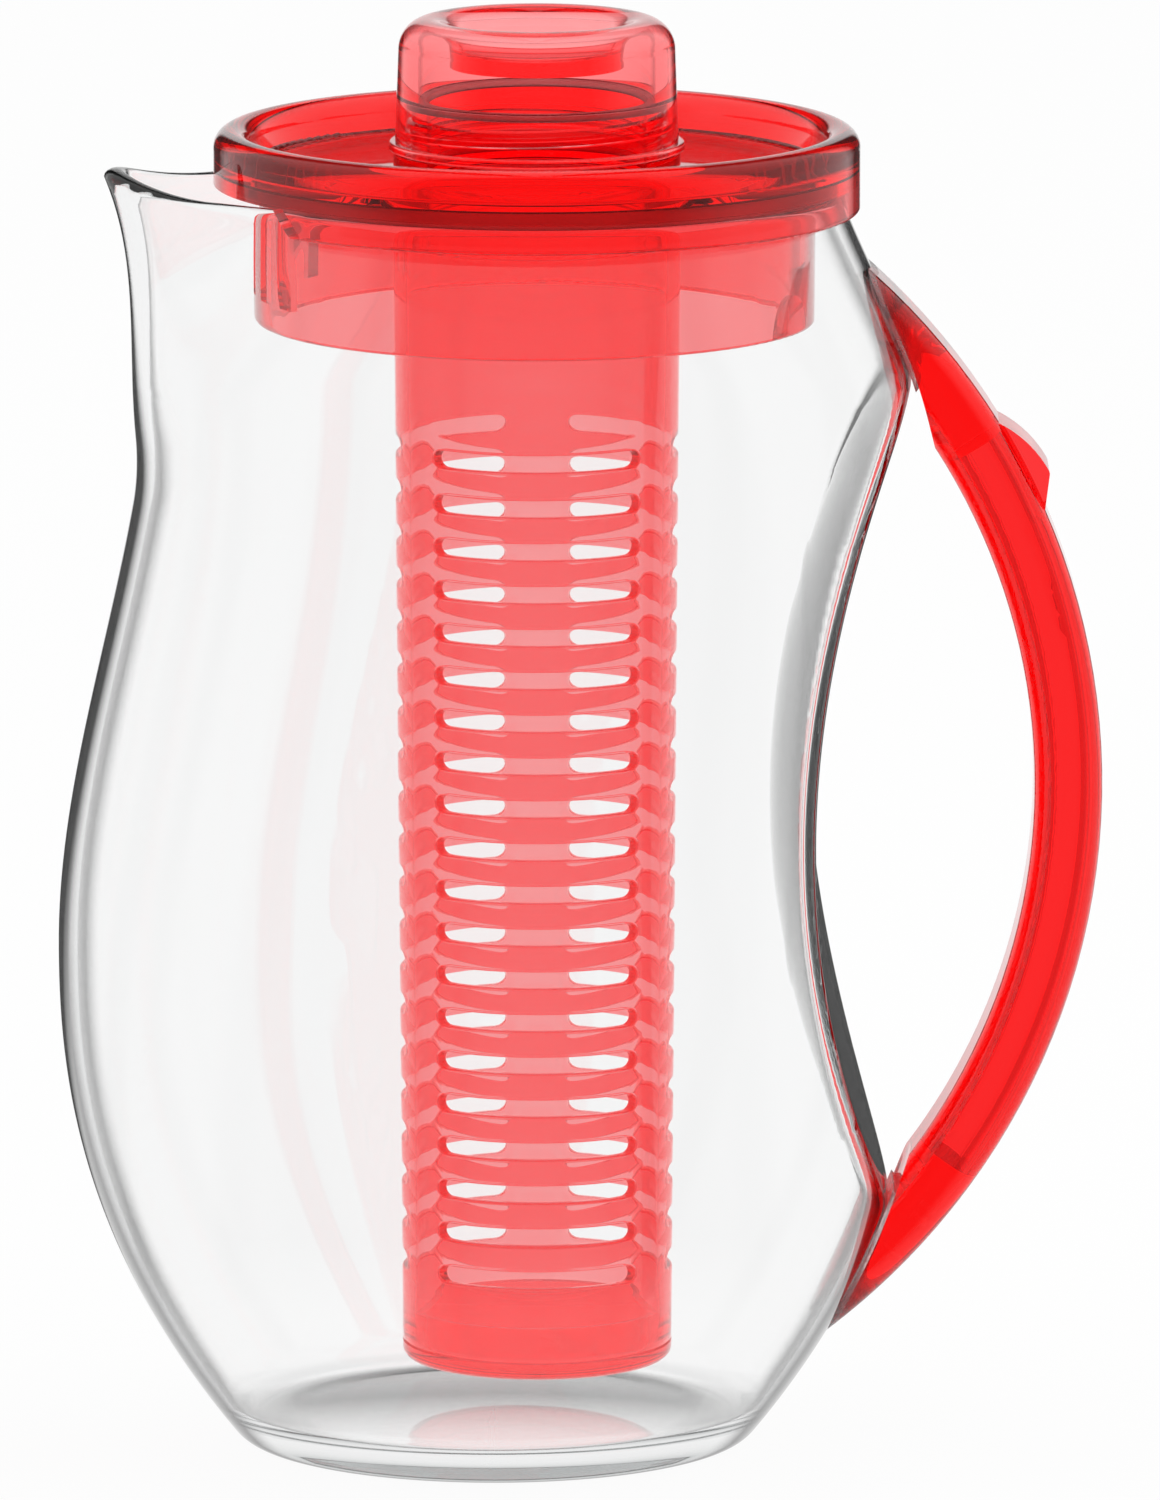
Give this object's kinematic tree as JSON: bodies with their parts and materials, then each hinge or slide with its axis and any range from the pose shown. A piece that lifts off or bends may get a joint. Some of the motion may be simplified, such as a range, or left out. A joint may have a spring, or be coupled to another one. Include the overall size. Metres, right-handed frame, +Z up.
{
  "type": "fruit infuser pitcher",
  "caption": "Clear belly-shaped pitcher with a pointed spout, a red bow handle over a finger recess, and a red lid carrying a screw knob and a slotted fruit tube.",
  "frame": {"origin": "on the table, at the middle of the jug's flat round base", "axes": "+Z up, -X towards the pouring spout, +X towards the handle, Y across the jug"},
  "size_m": [0.1847, 0.1546, 0.254],
  "materials": {
    "clear_acrylic": "clear polished acrylic",
    "clear_bond": "clear bond layer",
    "red_plastic": "translucent polished plastic",
    "clear_silicone": "soft translucent silicone"
  },
  "bodies": {
    "jug": {"jug": "clear_acrylic", "upper_handle_pad": "clear_bond", "lower_handle_pad": "clear_bond", "handle_shell": "red_plastic", "handle_cover": "red_plastic", "thumb_rest": "red_plastic"},
    "lid": {"lid": "red_plastic", "lid_gasket": "clear_silicone"},
    "knob_seal": {"knob_washer": "clear_silicone"},
    "knob": {"knob": "red_plastic"},
    "infuser_seal": {"infuser_washer": "clear_silicone"},
    "infuser": {"infuser_tube": "red_plastic", "infuser_base": "red_plastic"}
  },
  "joints": [
    {"name": "lid_lift", "type": "slide", "parent": "jug", "child": "lid", "axis": [0, 0, 1], "range_m": [0, 0.22]},
    {"name": "knob_rise", "type": "slide", "parent": "lid", "child": "knob_seal", "axis": [0, 0, 1], "range_m": [0, 0.0062]},
    {"name": "knob_turn", "type": "hinge", "parent": "knob_seal", "child": "knob", "pos_m": [0.0075, 0, 0.24], "axis": [0, 0, 1], "range_deg": [0, 630]},
    {"name": "infuser_drop", "type": "slide", "parent": "lid", "child": "infuser_seal", "axis": [0, 0, -1], "range_m": [0, 0.0062]},
    {"name": "infuser_turn", "type": "hinge", "parent": "infuser_seal", "child": "infuser", "pos_m": [0.0075, 0, 0.22], "axis": [0, 0, -1], "range_deg": [0, 630]}
  ],
  "couplings": [
    {"joint": "knob_rise", "follows": "knob_turn", "m_per_rad": 0.00055704},
    {"joint": "infuser_drop", "follows": "infuser_turn", "m_per_rad": 0.00055704}
  ]
}
